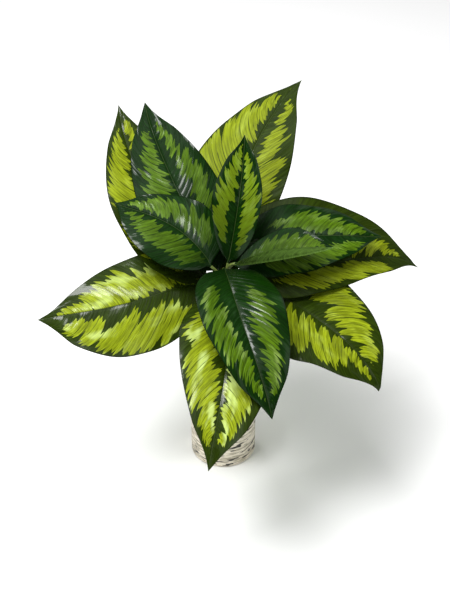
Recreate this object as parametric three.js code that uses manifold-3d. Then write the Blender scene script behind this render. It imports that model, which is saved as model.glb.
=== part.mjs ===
// Potted calathea princeps: twelve patterned leaves on slender stalks, soil and a round pot.
// Millimetres, +Z up, origin at the centre of the pot's underside, viewer on the -Y side.
import * as THREE from "three";
import Module from "manifold-3d";

const wasm = await Module();
wasm.setup();

const rad = THREE.MathUtils.degToRad;

// Pot
const POT_DIAMETER = 100;
const POT_HEIGHT = 105;
const POT_WALL = 4;
const POT_FLOOR = 7;
const POT_BASE_ROUNDING = 4;
const POT_SIDES = 48;

// Soil
const CLEARANCE = 0.35;
const SOIL_TOP = 91;
const SOIL_DOME = 5;
const HOLE_FLOOR = 52;
const HOLE_SIDES = 14;

// Crown: where the stalks fan out into blades
const CROWN_X = 2;
const CROWN_HEIGHT = 343;
const UPPER_STALK_RADIUS = 2.0;
const LOWER_STALK_RADIUS = 2.4;
const UPPER_HOLE_RING = 10.5;
const LOWER_HOLE_RING = 21;
const UPPER_NECK_RING = 5.6;
const LOWER_NECK_RING = 13;
const NECK_DROP = 26;

// Blades
const BLADE_THICKNESS = 1.0;
const KEEL_DEPTH = 2.4;
const RIB_HALF_WIDTH = 3.2;
const TIP_HALF_WIDTH = 0.7;
const BLADE_CUP = 0.1;
const TAPER_START = 0.8;
const TAPER_SHARE = 0.4;
const HOOK_START = 0.93;
const STATIONS = [
  0.02, 0.05, 0.09, 0.15, 0.22, 0.3, 0.38, 0.46, 0.54, 0.62, 0.7, 0.78, 0.85, 0.91, 0.95, 0.98, 1,
];

// Each leaf, angles in degrees: "from" is the side of the crown it springs from (0 is +X, 90 is
// away from the viewer) and "out" its distance there from the axis; "bearing" is where it heads
// at mid length and "turn" how far that swings from base to tip; then pitch at base and tip, roll
// about the midrib (positive lowers the right-hand side seen from the base) and fold of the two
// halves. "left" and "right" give each half's width and how full it is at base and at tip; "sag"
// keeps the droop tipwards and "hook" bends the very tip down. "lean" and "bow" move the midrib
// off the blade's middle line, near its base and at mid length, as shares of the half width.
const LEAVES = {
  leaf_back_right: {
    whorl: "lower", from: 80, out: 24, drop: 45, bearing: 65, turn: -53, length: 338,
    left: [78, 0.72, 1.06], right: [65, 0.92, 0.96], pitch: [53, 27], sag: 1, roll: 12, fold: 4,
    wave: 3, ripple: 2.5, hook: 0, lean: 0, bow: 0.03,
  },
  leaf_back_left: {
    whorl: "lower", from: 142, out: 28, drop: 40, bearing: 125, turn: -54, length: 308,
    left: [64, 0.55, 1.15], right: [64, 0.95, 0.95], pitch: [37, 37], sag: 1, roll: -2, fold: 5,
    wave: 3, ripple: 3, hook: 0, lean: 0, bow: 0.06,
  },
  leaf_side_left: {
    whorl: "lower", from: 200, out: 18, drop: 60, bearing: 188, turn: -12, length: 251,
    left: [70, 0.92, 0.92], right: [81, 0.5, 1.12], pitch: [8, -11], sag: 1, roll: -38, fold: 0,
    wave: 3, ripple: 3, hook: 0, lean: 0.6, bow: 0,
  },
  leaf_front: {
    whorl: "lower", from: 262, out: 18, drop: 44, bearing: -95, turn: -24, length: 298,
    left: [67, 0.7, 0.86], right: [63, 0.66, 1.06], pitch: [20, -58], sag: 1, roll: -5, fold: 8,
    wave: 3, ripple: 2.5, hook: 0, lean: 0, bow: -0.04,
  },
  leaf_front_right: {
    whorl: "lower", from: 322, out: 20, drop: 64, bearing: -34.5, turn: -22, length: 265,
    left: [90, 0.47, 1.05], right: [73, 0.62, 0.88], pitch: [14, -64], sag: 2, roll: 14, fold: 6,
    wave: 3, ripple: 3, hook: 30, lean: -0.8, bow: 0.05,
  },
  leaf_side_right: {
    whorl: "lower", from: 16, out: 28, drop: 32, bearing: 12, turn: 0, length: 288,
    left: [91, 0.43, 1.25], right: [72, 0.56, 1.05], pitch: [37, -43], sag: 1, roll: 29, fold: 8,
    wave: 3, ripple: 3, hook: 0, lean: 0, bow: 0.4,
  },
  leaf_upper_back_left: {
    whorl: "upper", from: 115, out: 15, drop: 23, bearing: 121, turn: -38, length: 284,
    left: [54, 0.7, 0.95], right: [69, 0.65, 0.95], pitch: [40, 38], sag: 1, roll: -20, fold: 8,
    wave: 2, ripple: 3, hook: 0, lean: 0, bow: 0.11,
  },
  leaf_upright: {
    whorl: "upper", from: 60, out: 10, drop: 3, bearing: 74, turn: 26, length: 182,
    left: [39, 0.92, 0.95], right: [43, 0.72, 1], pitch: [68, 52], sag: 1, roll: -2, fold: 28,
    wave: 2, ripple: 2.5, hook: 0, lean: 0, bow: 0,
  },
  leaf_upper_left: {
    whorl: "upper", from: 190, out: 19, drop: 1, bearing: 151, turn: 0, length: 172,
    left: [50, 0.74, 0.95], right: [64, 0.55, 1], pitch: [35, 5], sag: 1, roll: -26, fold: 8,
    wave: 2, ripple: 2.5, hook: 0, lean: 0.1, bow: 0.16,
  },
  leaf_upper_front: {
    whorl: "upper", from: 268, out: 10, drop: 1, bearing: -74, turn: 12, length: 269,
    left: [57, 0.6, 0.85], right: [59, 0.6, 0.85], pitch: [22, -62], sag: 1, roll: 0, fold: 8,
    wave: 2, ripple: 3, hook: 0, lean: 0, bow: 0.1,
  },
  leaf_upper_right: {
    whorl: "upper", from: 4, out: 11, drop: 2, bearing: 9, turn: 0, length: 220,
    left: [68, 0.62, 0.98], right: [48, 0.68, 0.95], pitch: [22, -8], sag: 1, roll: 25, fold: 8,
    wave: 2, ripple: 3, hook: 0, lean: -0.7, bow: -0.1,
  },
  leaf_young: {
    whorl: "upper", from: 315, out: 21, drop: -11, bearing: -13, turn: 0, length: 144,
    left: [46, 1, 1], right: [46, 1, 1], pitch: [14, 24], sag: 1, roll: -4, fold: 46,
    wave: 1, ripple: 2, hook: 0, lean: 0, bow: 0,
  },
};

const smooth = (x) => {
  const c = Math.min(1, Math.max(0, x));
  return c * c * (3 - 2 * c);
};

// Outline of a blade: width of its left or right half at the fraction s of its length
const halfWidth = (leaf, s, t) => {
  const [width, full, point] = t > 0 ? leaf.right : leaf.left;
  const widest = full / (full + point);
  const rise = Math.pow(s / widest, full);
  const fall = Math.pow((1 - s) / (1 - widest), point);
  const taper = 1 - TAPER_SHARE * smooth((s - TAPER_START) / (1 - TAPER_START));
  return Math.max(TIP_HALF_WIDTH, width * rise * fall * taper);
};

// Direction, side and upward normal of the midrib at the fraction s
const bladeFrame = (leaf, s) => {
  const bearing = rad(leaf.bearing + leaf.turn * (s - 0.5));
  const hook = leaf.hook * smooth((s - HOOK_START) / (1 - HOOK_START));
  const pitch = rad(leaf.pitch[0] + (leaf.pitch[1] - leaf.pitch[0]) * Math.pow(s, leaf.sag) - hook);
  const along = new THREE.Vector3(
    Math.cos(pitch) * Math.cos(bearing),
    Math.cos(pitch) * Math.sin(bearing),
    Math.sin(pitch),
  );
  const side = new THREE.Vector3(Math.sin(bearing), -Math.cos(bearing), 0);
  side.applyAxisAngle(along, rad(leaf.roll));
  const up = new THREE.Vector3().crossVectors(side, along);
  return { along, side, up };
};

// A point round the crown's axis on the leaf's own side
const aroundAxis = (leaf, radius, height) => new THREE.Vector3(
  CROWN_X + radius * Math.cos(rad(leaf.from)),
  radius * Math.sin(rad(leaf.from)),
  height,
);

const bladeStart = (leaf) => aroundAxis(leaf, leaf.out, CROWN_HEIGHT - leaf.drop);

// Midrib points at every hundredth of the length
const midrib = (leaf) => {
  const points = [bladeStart(leaf)];
  const step = leaf.length / 100;
  for (let i = 0; i < 100; i += 1) {
    const { along } = bladeFrame(leaf, (i + 0.5) / 100);
    points.push(points[i].clone().addScaledVector(along, step));
  }
  return points;
};

// Where the fraction t of a half lies sideways of the blade's middle line
const bladeReach = (leaf, s, t) => {
  const shift = leaf.lean * Math.pow(1 - s, 3) + leaf.bow * 4 * s * (1 - s);
  const place = t + shift * (1 - Math.abs(t));
  return place * halfWidth(leaf, Math.min(s, 0.9999), place) * Math.cos(rad(leaf.fold));
};

// Height of the blade over its midrib plane at the fraction t of the half width
const bladeLift = (leaf, s, t, w) => {
  const a = Math.abs(t);
  const phase = t > 0 ? 0.25 : 0;
  const ripple = Math.sin(2 * Math.PI * (leaf.ripple * s + phase)) * a * a * a;
  const share = w / (t > 0 ? leaf.right : leaf.left)[0];
  return w * a * Math.sin(rad(leaf.fold)) - BLADE_CUP * w * a * a + leaf.wave * ripple * share;
};

// One ring of the leaf skin: seven points over the upper face, seven back under it
const bladeRing = (leaf, centre, frame, s, stalkRadius) => {
  const middle = bladeReach(leaf, s, 0);
  const halves = [-1, 1].map((t) => Math.abs(bladeReach(leaf, s, t) - middle));
  const ribs = halves.map((half) => Math.min(0.45, RIB_HALF_WIDTH / half));
  const across = [-1, -0.6, -ribs[0], 0, ribs[1], 0.6, 1];
  const blend = smooth(s / 0.06);
  const top = [];
  const under = [];
  across.forEach((t, j) => {
    const w = halfWidth(leaf, Math.min(s, 0.9999), t);
    const x = bladeReach(leaf, s, t);
    const y = bladeLift(leaf, s, t, w);
    const d = 0.02;
    const run = bladeReach(leaf, s, t + d) - bladeReach(leaf, s, t - d);
    const slope = (bladeLift(leaf, s, t + d, w) - bladeLift(leaf, s, t - d, w)) / run;
    const n = new THREE.Vector2(-slope, 1).normalize();
    const keel = t === 0 ? KEEL_DEPTH * (1 - 0.8 * s) : 0;
    const angle = Math.PI * (1 - j / 6) ;
    const c = stalkRadius * Math.cos(angle);
    const h = stalkRadius * Math.sin(angle) * 0.98 + 0.02;
    top.push([THREE.MathUtils.lerp(c, x, blend), THREE.MathUtils.lerp(h, y, blend)]);
    under.push([
      THREE.MathUtils.lerp(c, x - n.x * BLADE_THICKNESS, blend),
      THREE.MathUtils.lerp(-h, y - n.y * BLADE_THICKNESS - keel, blend),
    ]);
  });
  return [...top, ...under.reverse()].map(([x, y]) =>
    centre.clone().addScaledVector(frame.side, x).addScaledVector(frame.up, y));
};

// One ring of a round stalk, its points spaced like those of the blade rings
const stalkRing = (centre, frame, radius) => {
  const ring = [];
  for (let k = 0; k < 14; k += 1) {
    const j = k < 7 ? k : 13 - k;
    const sign = k < 7 ? 1 : -1;
    const angle = Math.PI * (1 - j / 6);
    const c = radius * Math.cos(angle);
    const h = sign * (radius * Math.sin(angle) * 0.98 + 0.02);
    ring.push(centre.clone().addScaledVector(frame.side, c).addScaledVector(frame.up, h));
  }
  return ring;
};

const holeCentre = (leaf) =>
  aroundAxis(leaf, leaf.whorl === "upper" ? UPPER_HOLE_RING : LOWER_HOLE_RING, 0);

// Skins a row of rings, with the same diagonals on the upper and the lower face
const skin = (rings) => {
  const positions = [];
  const index = [];
  const size = rings[0].length;
  rings.forEach((ring) => ring.forEach((p) => positions.push(p.x, p.y, p.z)));
  for (let i = 0; i + 1 < rings.length; i += 1) {
    for (let k = 0; k < size; k += 1) {
      const m = (k + 1) % size;
      const a = i * size + k;
      const b = i * size + m;
      const c = (i + 1) * size + m;
      const d = (i + 1) * size + k;
      if (k < 6) {
        index.push(a, b, c, a, c, d);
      } else {
        index.push(a, b, d, b, c, d);
      }
    }
  }
  const last = (rings.length - 1) * size;
  for (let k = 0; k < 6; k += 1) {
    const near = [k, k + 1, size - 2 - k, size - 1 - k];
    index.push(near[0], near[3], near[2], near[0], near[2], near[1]);
    const far = near.map((n) => n + last);
    index.push(far[0], far[1], far[2], far[0], far[2], far[3]);
  }
  const geometry = new THREE.BufferGeometry();
  geometry.setAttribute("position", new THREE.Float32BufferAttribute(positions, 3));
  geometry.setIndex(index);
  return geometry;
};

// Centre line of a stalk: upright in its hole, leaning in to the neck, then bending out
const stalkPath = (leaf, base, along) => {
  const neckRing = leaf.whorl === "upper" ? UPPER_NECK_RING : LOWER_NECK_RING;
  const foot = holeCentre(leaf).setZ(HOLE_FLOOR + CLEARANCE);
  const collar = foot.clone().setZ(SOIL_TOP + SOIL_DOME + 6);
  const neck = aroundAxis(leaf, neckRing, base.z - NECK_DROP);
  const path = new THREE.CurvePath();
  path.add(new THREE.LineCurve3(foot, collar));
  path.add(new THREE.CubicBezierCurve3(
    collar,
    collar.clone().setZ(collar.z + 40),
    neck.clone().setZ(neck.z - 50),
    neck,
  ));
  path.add(new THREE.CubicBezierCurve3(
    neck,
    neck.clone().setZ(neck.z + 14),
    base.clone().addScaledVector(along, -9),
    base,
  ));
  return path;
};

const makeLeaf = (leaf) => {
  const radius = leaf.whorl === "upper" ? UPPER_STALK_RADIUS : LOWER_STALK_RADIUS;
  const spine = midrib(leaf);
  const start = bladeFrame(leaf, 0);
  const [straight, lean, bend] = stalkPath(leaf, spine[0], start.along).curves;
  const rings = [];
  const addStalkRing = (curve, u) => {
    const along = curve.getTangent(u);
    const side = start.side.clone().addScaledVector(along, -start.side.dot(along)).normalize();
    const up = new THREE.Vector3().crossVectors(side, along);
    rings.push(stalkRing(curve.getPoint(u), { side, up }, radius));
  };
  addStalkRing(straight, 0);
  [0, 0.3, 0.7, 1].forEach((u) => addStalkRing(lean, u));
  [0.3, 0.55, 0.8, 1].forEach((u) => addStalkRing(bend, u));
  STATIONS.forEach((s) => {
    const centre = spine[Math.round(s * 100)];
    rings.push(bladeRing(leaf, centre, bladeFrame(leaf, s), s, radius));
  });
  return skin(rings);
};

// Pot and soil are turned about the upright axis
const turned = (profile, sides) => {
  const points = profile.map(([r, z]) => new THREE.Vector2(r, z));
  const geometry = new THREE.LatheGeometry(points, sides);
  geometry.rotateX(Math.PI / 2);
  return geometry;
};

const toSolid = (geometry) => {
  const source = geometry.index ? geometry.toNonIndexed() : geometry;
  const position = source.getAttribute("position");
  const places = new Map();
  const vertices = [];
  const triangles = [];
  for (let i = 0; i < position.count; i += 3) {
    const corner = [0, 1, 2].map((k) => {
      const p = [position.getX(i + k), position.getY(i + k), position.getZ(i + k)];
      const key = p.map((v) => Math.round(v * 1e4)).join(" ");
      if (!places.has(key)) {
        places.set(key, vertices.length / 3);
        vertices.push(...p);
      }
      return places.get(key);
    });
    if (corner[0] !== corner[1] && corner[1] !== corner[2] && corner[2] !== corner[0]) {
      triangles.push(...corner);
    }
  }
  return new wasm.Manifold(new wasm.Mesh({
    numProp: 3,
    vertProperties: new Float32Array(vertices),
    triVerts: new Uint32Array(triangles),
  }));
};

const fromSolid = (solid) => {
  const mesh = solid.getMesh();
  const geometry = new THREE.BufferGeometry();
  geometry.setAttribute("position", new THREE.Float32BufferAttribute(mesh.vertProperties, 3));
  geometry.setIndex(Array.from(mesh.triVerts));
  return geometry;
};

const makePot = () => {
  const outer = POT_DIAMETER / 2;
  const inner = outer - POT_WALL;
  const b = POT_BASE_ROUNDING;
  const profile = [[0, 0], [outer - b, 0]];
  for (let k = 1; k <= 4; k += 1) {
    const angle = rad(22.5 * k);
    profile.push([outer - b + b * Math.sin(angle), b - b * Math.cos(angle)]);
  }
  profile.push(
    [outer, POT_HEIGHT - 1.5],
    [outer - 1.2, POT_HEIGHT],
    [inner + 1.2, POT_HEIGHT],
    [inner, POT_HEIGHT - 1.5],
    [inner, POT_FLOOR + 4],
    [inner - 4, POT_FLOOR],
    [0, POT_FLOOR],
  );
  return turned(profile, POT_SIDES);
};

const makeSoil = () => {
  const r = POT_DIAMETER / 2 - POT_WALL - CLEARANCE;
  const floor = POT_FLOOR + CLEARANCE;
  const profile = [
    [0, floor], [r - 4, floor], [r, floor + 4], [r, SOIL_TOP],
    [r * 0.72, SOIL_TOP + SOIL_DOME * 0.6], [r * 0.36, SOIL_TOP + SOIL_DOME], [0, SOIL_TOP + SOIL_DOME],
  ];
  let solid = toSolid(turned(profile, 36));
  Object.values(LEAVES).forEach((leaf) => {
    const radius = (leaf.whorl === "upper" ? UPPER_STALK_RADIUS : LOWER_STALK_RADIUS) + CLEARANCE + 0.1;
    const depth = 60;
    const hole = new THREE.CylinderGeometry(radius, radius, depth, HOLE_SIDES);
    hole.rotateX(Math.PI / 2);
    const centre = holeCentre(leaf);
    hole.translate(centre.x, centre.y, HOLE_FLOOR + depth / 2);
    solid = solid.subtract(toSolid(hole));
  });
  return fromSolid(solid);
};

const group = new THREE.Group();
group.name = "potted_calathea_princeps";

const addPart = (name, geometry, colour, roughness) => {
  const material = new THREE.MeshStandardMaterial({ color: colour, roughness, metalness: 0 });
  material.name = `${name}_material`;
  const mesh = new THREE.Mesh(geometry, material);
  mesh.name = name;
  group.add(mesh);
};

addPart("pot", makePot(), 0xe8dfca, 0.4);
addPart("soil", makeSoil(), 0x3a2a1d, 0.9);
Object.entries(LEAVES).forEach(([name, leaf]) => {
  addPart(name, makeLeaf(leaf), leaf.whorl === "upper" ? 0x3d6b1c : 0x7f9c22, 0.35);
});

export default group;
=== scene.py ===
import math

import bmesh
import bpy
from bpy.props import FloatProperty, FloatVectorProperty, IntProperty, PointerProperty
from mathutils import Matrix, Vector, noise


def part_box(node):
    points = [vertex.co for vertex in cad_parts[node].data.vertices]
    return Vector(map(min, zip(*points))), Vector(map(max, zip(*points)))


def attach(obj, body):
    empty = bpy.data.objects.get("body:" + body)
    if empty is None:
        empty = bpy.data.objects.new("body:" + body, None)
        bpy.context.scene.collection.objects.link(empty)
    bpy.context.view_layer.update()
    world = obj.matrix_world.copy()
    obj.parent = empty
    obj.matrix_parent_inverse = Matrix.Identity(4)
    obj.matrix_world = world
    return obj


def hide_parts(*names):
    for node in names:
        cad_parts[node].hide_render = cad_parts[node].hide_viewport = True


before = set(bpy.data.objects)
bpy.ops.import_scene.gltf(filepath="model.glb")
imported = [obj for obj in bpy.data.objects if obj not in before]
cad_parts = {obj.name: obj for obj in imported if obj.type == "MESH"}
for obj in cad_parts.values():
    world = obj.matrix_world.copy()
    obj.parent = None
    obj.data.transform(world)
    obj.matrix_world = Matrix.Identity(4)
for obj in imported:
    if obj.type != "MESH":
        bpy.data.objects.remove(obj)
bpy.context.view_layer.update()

bl_info = {
    "name": "Potted calathea princeps",
    "version": (1, 0, 0),
    "blender": (4, 5, 0),
    "location": "3D View > Sidebar > Calathea",
    "description": "Builds a patterned foliage plant in a round glazed pot",
    "category": "Object",
}

MM = 0.001
TAU = 2 * math.pi


def dye(code):
    """A screen colour such as 8fa032 as the linear colour that a material wants."""
    linear = []
    for i in (0, 2, 4):
        part = int(code[i : i + 2], 16) / 255
        linear.append(part / 12.92 if part <= 0.04045 else ((part + 0.055) / 1.055) ** 2.4)
    return (*linear, 1.0)


def shade(colour, factor, lift=0.0):
    """A colour made darker or lighter by a factor, and then raised."""
    return (*(min(1.0, part * factor + lift) for part in colour[:3]), 1.0)


def smooth(x):
    c = min(1.0, max(0.0, x))
    return c * c * (3 - 2 * c)


def pick(number):
    """The same scattered value from 0 to 1 for the same number, on each run."""
    return math.modf(abs(math.sin(number * 12.9898 + 4.1414) * 43758.5453))[0]


# Settings


def colour(name, description, code):
    return FloatVectorProperty(
        name=name,
        description=description,
        subtype="COLOR",
        size=4,
        min=0.0,
        max=1.0,
        default=dye(code),
    )


def length(name, description, millimetres):
    return FloatProperty(
        name=name,
        description=description,
        default=millimetres * MM,
        min=0.0,
        unit="LENGTH",
        subtype="DISTANCE",
    )


def power(name, description, watts):
    return FloatProperty(name=name, description=description, default=watts, min=0.0, unit="POWER")


def pot_size(axis):
    low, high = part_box("pot")
    return (high[axis] - low[axis]) / MM


class StageSettings(bpy.types.PropertyGroup):
    """Floor and light."""

    floor_colour: colour("Floor", "Colour of the plain floor", "fafafa")
    floor_width: length("Floor width", "Side of the square floor", 9000)
    key_power: power("Key light", "Power of the broad light overhead", 116)
    key_size: length("Key light's side", "Side of the broad light overhead", 1600)
    sheen_power: power("Sheen light", "Power of the light that glosses the leaves", 8)
    sheen_size: length("Sheen light's side", "Side of the light that glosses the leaves", 700)
    sky: FloatProperty(name="Sky", description="Strength of the even light all round", default=0.5)


class PotSettings(bpy.types.PropertyGroup):
    """The glazed pot."""

    diameter: length("Diameter", "Outside diameter of the pot", pot_size(0))
    height: length("Height", "Height of the pot", pot_size(2))
    wall: length("Wall", "Thickness of the wall", 4)
    base: length("Base", "Thickness of the pot's floor", 7)
    foot_round: length("Foot rounding", "Radius of the rounding at the pot's foot", 4)
    rim_round: length("Rim rounding", "Radius of the roundings at the pot's rim", 1.6)
    relief: length("Relief", "Depth of the bark-like streaks", 0.7)
    cream: colour("Glaze", "Main colour of the glaze", "efe6d2")
    streak: colour("Streak", "Colour of the broad streaks", "a89f88")
    dash: colour("Dash", "Colour of the short dark dashes", "1d180a")


class SoilSettings(bpy.types.PropertyGroup):
    """The potting soil."""

    radius: length("Radius", "Radius of the soil, just inside the pot's wall", 45.65)
    bottom: length("Bottom", "Height of the soil's underside", 7.4)
    chamfer: length("Chamfer", "Slope at the soil's lower edge, inside the pot's rounding", 4)
    top: length("Top", "Height of the soil at the pot's wall", 91)
    dome: length("Dome", "Rise of the soil to its middle", 5)
    crumbs: IntProperty(name="Crumbs", description="Number of loose crumbs", default=420, min=0)
    peat: colour("Peat", "Colour of the damp soil", "2c1f15")
    fibre: colour("Fibre", "Colour of the dry crumbs", "6a5138")


class LeafSettings(bpy.types.PropertyGroup):
    """Blades and stalks."""

    thickness: length("Thickness", "Thickness of a blade", 1.0)
    keel: length("Keel", "Depth of the midrib under a blade's base", 2.4)
    vein_step: length("Vein step", "Mean distance of the side veins along the midrib", 9)
    pale_band: colour("Pale band", "Light band of the lower leaves", "9bac19")
    pale_ground: colour("Pale ground", "Dark parts of the lower leaves", "2a3b03")
    deep_band: colour("Deep band", "Light band of the upper leaves", "5a7d0e")
    deep_ground: colour("Deep ground", "Dark parts of the upper leaves", "0c2c02")
    underside: colour("Underside", "Colour of the blades from below", "5f8330")
    stalk: colour("Stalk", "Colour of the stalks", "6d7f34")


class CalatheaSettings(bpy.types.PropertyGroup):
    """All settings of the plant."""

    stage: PointerProperty(type=StageSettings)
    pot: PointerProperty(type=PotSettings)
    soil: PointerProperty(type=SoilSettings)
    leaf: PointerProperty(type=LeafSettings)


# Materials

# Pale patches of painted sheen, laid into the light band as highlights
PAINTED_SHEEN_PATCH = (0.62, 0.78, 0.26, 1.0)
YOUNG_BAND = dye("93a61e")
RIB_LINE = (0.16, 0.24, 0.06, 1.0)
STALK_SPOT = dye("8a7a45")
STALK_FOOT = dye("6b5230")
GLAZE_SHADOW = dye("7b785d")
GLAZE_BLUSH = dye("e8d6bd")

OTHER_HALF = 37.0
MARGIN = 0.985
LOBE_SHAPE = 1.4
TOOTH_SHAPE = 1.2
LINE_FINENESS = 7.5
DASH_RING_HEIGHT = 0.0115


class Value:
    """A socket of a material, on which sums are written as plain expressions."""

    def __init__(self, recipe, socket):
        self.recipe = recipe
        self.socket = socket

    def join(self, operation, first, second):
        return self.recipe.node("ShaderNodeMath", {"operation": operation}, {0: first, 1: second})

    def __add__(self, other):
        return self.join("ADD", self, other)

    def __radd__(self, other):
        return self.join("ADD", other, self)

    def __sub__(self, other):
        return self.join("SUBTRACT", self, other)

    def __rsub__(self, other):
        return self.join("SUBTRACT", other, self)

    def __mul__(self, other):
        return self.join("MULTIPLY", self, other)

    def __rmul__(self, other):
        return self.join("MULTIPLY", other, self)

    def __gt__(self, other):
        return self.join("GREATER_THAN", self, other)

    def __neg__(self):
        return self.join("MULTIPLY", self, -1.0)

    def __abs__(self):
        return self.join("ABSOLUTE", self, 0.0)

    def __pow__(self, other):
        return self.join("POWER", self, other)

    def swing(self, width):
        """Noise from 0 to 1 turned into a swing about 0 of the given width."""
        return (self - 0.5) * width

    def between(self):
        """Distance to the nearest whole number, from 0 to 0.5."""
        return self.join("PINGPONG", self, 0.5)

    def fade(self, low, high):
        """0 below low, 1 above high, with a soft step between them."""
        return self.recipe.node(
            "ShaderNodeMapRange", {"interpolation_type": "SMOOTHSTEP"}, {0: self, 1: low, 2: high}
        )


class Recipe:
    """A material and the nodes that are added to it."""

    def __init__(self, name):
        self.material = bpy.data.materials.new(name)
        self.material.use_nodes = True
        self.tree = self.material.node_tree
        self.surface = next(n for n in self.tree.nodes if n.type == "BSDF_PRINCIPLED")

    def node(self, kind, settings, sockets, out=0):
        """Adds a node: its settings are set first, and then its sockets are fed."""
        made = self.tree.nodes.new(kind)
        for key, value in settings.items():
            setattr(made, key, value)
        for key, value in sockets.items():
            self.feed(made.inputs[key], value)
        return Value(self, made.outputs[out])

    def feed(self, socket, value):
        if isinstance(value, Value):
            self.tree.links.new(value.socket, socket)
        else:
            socket.default_value = value

    def mix(self, factor, first, second):
        """A colour between two colours."""
        return self.node("ShaderNodeMix", {"data_type": "RGBA"}, {0: factor, 6: first, 7: second}, out=2)

    def place(self):
        return self.node("ShaderNodeTexCoord", {}, {}, out="Object")

    def attribute(self, name, out="Fac"):
        return self.node("ShaderNodeAttribute", {"attribute_name": name}, {}, out=out)

    def split(self, vector):
        parts = self.tree.nodes.new("ShaderNodeSeparateXYZ")
        self.feed(parts.inputs[0], vector)
        return [Value(self, s) for s in parts.outputs]

    def vector(self, x, y, z):
        return self.node("ShaderNodeCombineXYZ", {}, {0: x, 1: y, 2: z})

    def grain(self, vector, scale=1.0, detail=2.0, roughness=0.5):
        """Cloudy noise from 0 to 1."""
        sockets = {"Vector": vector, "Scale": scale, "Detail": detail, "Roughness": roughness}
        return self.node("ShaderNodeTexNoise", {}, sockets)

    def cells(self, along, out="Distance"):
        """Cells of scattered width on a line: distance from their middles, or a value for each."""
        return self.node(
            "ShaderNodeTexVoronoi", {"voronoi_dimensions": "1D"}, {"W": along, "Scale": 1.0}, out=out
        )

    def chance(self, number):
        """The same scattered value from 0 to 1 for the same number."""
        return self.node("ShaderNodeTexWhiteNoise", {"noise_dimensions": "1D"}, {"W": number})

    def bump(self, height, distance, strength):
        sockets = {"Height": height, "Distance": distance, "Strength": strength}
        return self.node("ShaderNodeBump", {}, sockets)

    def finish(self, **sockets):
        """Feeds the surface's sockets, whose names are written with underscores."""
        for key, value in sockets.items():
            self.feed(self.surface.inputs[key.replace("_", " ")], value)
        return self.material


class BladeRecipe(Recipe):
    """A material that reads from the blade's mesh where on the blade it is.

    lane counts the side veins along a half, out is the share of the half width from the midrib to
    the margin, reach the millimetres from the midrib, and share the share of the blade's length.
    """

    def __init__(self, name):
        super().__init__(name)
        across, lane, seed = self.split(self.attribute("vein_place", "Vector"))
        self.inner, self.outer, self.tone = self.split(self.attribute("band", "Vector"))
        reach, self.glow, self.share = self.split(self.attribute("rib_place", "Vector"))
        self.reach = abs(reach)
        self.out = abs(across)
        self.lane = lane + seed + (across > 0.0) * OTHER_HALF

    def veined(self, pace, spread, level, detail=2.0, roughness=0.5):
        """Noise that is drawn out along the side veins."""
        place = self.vector(self.lane * pace, self.out * spread, level)
        return self.grain(place, 1.0, detail, roughness)

    def lobes(self, pace, shift):
        """Distance from the middle of the nearest lobe, and a scattered value for each lobe."""
        along = self.lane * pace + shift
        return self.cells(along), self.chance(self.cells(along, "W"))

    def lines(self, per_vein, drift):
        """Thin lines that lie beside the side veins and stray by the drift."""
        return (1.0 - (self.lane * per_vein + drift).between() * LINE_FINENESS).fade(0.0, 1.0)

    def rib(self, sharpness):
        """1 on the midrib, and less the farther from it."""
        return (1.0 - self.reach * sharpness).fade(0.0, 1.0)

    def margin(self):
        """1 along the blade's edge."""
        return self.out.fade(MARGIN - 0.03, MARGIN)


def light_band(r, lobes, notch, painted_crown_shade):
    """How much of the light band shows, with both of its edges feathered into lobes and teeth."""
    hair = r.veined(5.5, 3.0, 0.0)
    bristle = r.veined(14.0, 5.0, 2.0)
    lobe, lobe_size = r.lobes(lobes, 0.0)
    tooth = r.cells(r.lane * 1.3 + 11.0)
    tooth_size = r.veined(1.7, 1.2, 0.0)
    notches = lobe**LOBE_SHAPE * notch + tooth**TOOTH_SHAPE * 0.28 - 0.14
    outer = r.outer - notches + lobe_size.swing(0.16) + tooth_size.swing(0.2)
    outer = outer + hair.swing(0.07) + bristle.swing(0.03)

    lobe, lobe_size = r.lobes(lobes, 91.0)
    tooth = r.cells(r.lane * 1.5 + 53.0)
    notches = lobe**LOBE_SHAPE * notch + tooth**TOOTH_SHAPE * 0.22 - 0.13
    inner = r.inner + notches + lobe_size.swing(0.1)
    inner = inner + hair.swing(0.1) + bristle.swing(0.03)
    light = (outer - r.out).fade(-0.01, 0.012) * (r.out - inner).fade(-0.01, 0.012)

    # Dark lines along some of the veins, and painted shade towards the crown
    cut = r.grain(r.vector(r.lane * 1.3 + 7.0, r.out * 1.4, 0.0), 1.0, 3.0)
    drift = cut.swing(0.9)
    light = light * (1.0 - r.lines(1.0, drift) * cut.fade(0.5, 0.56) * 0.9)
    light = light * (1.0 - r.lines(2.0, drift) * tooth_size.fade(0.54, 0.64) * 0.75)
    # Painted shade: the band sinks into the dark ground towards the crown
    return light * (1.0 - (1.0 - r.share) ** 1.6 * painted_crown_shade)


def band_dye(r, band, streak, fine, cloud):
    """Colour of the light band: streaky, pale patches of painted sheen, painted shade towards the base.
    """
    low = shade(band, 0.42)
    dyed = r.mix((streak * 0.6 + fine * 0.4).fade(0.4, 0.6), low, band)
    # Painted shade of the crown: the band darkens towards the blade's base
    dyed = r.mix((1.0 - r.share) * (1.0 - r.share) * 0.5, dyed, low)
    dyed = r.mix((fine * 0.6 + cloud * 0.5).fade(0.56, 0.78) * 0.7, dyed, shade(band, 1.45, 0.03))
    # Painted sheen: pale glossy patches in the band, as strong as each leaf's sheen value
    dyed = r.mix(cloud.fade(0.5, 0.72) * r.glow, dyed, PAINTED_SHEEN_PATCH)
    dyed = r.mix(cloud.fade(0.45, 0.3) * 0.5, dyed, low)
    dyed = r.mix(r.tone, dyed, shade(band, 0.35))
    return r.mix(-r.tone, dyed, YOUNG_BAND)


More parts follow.
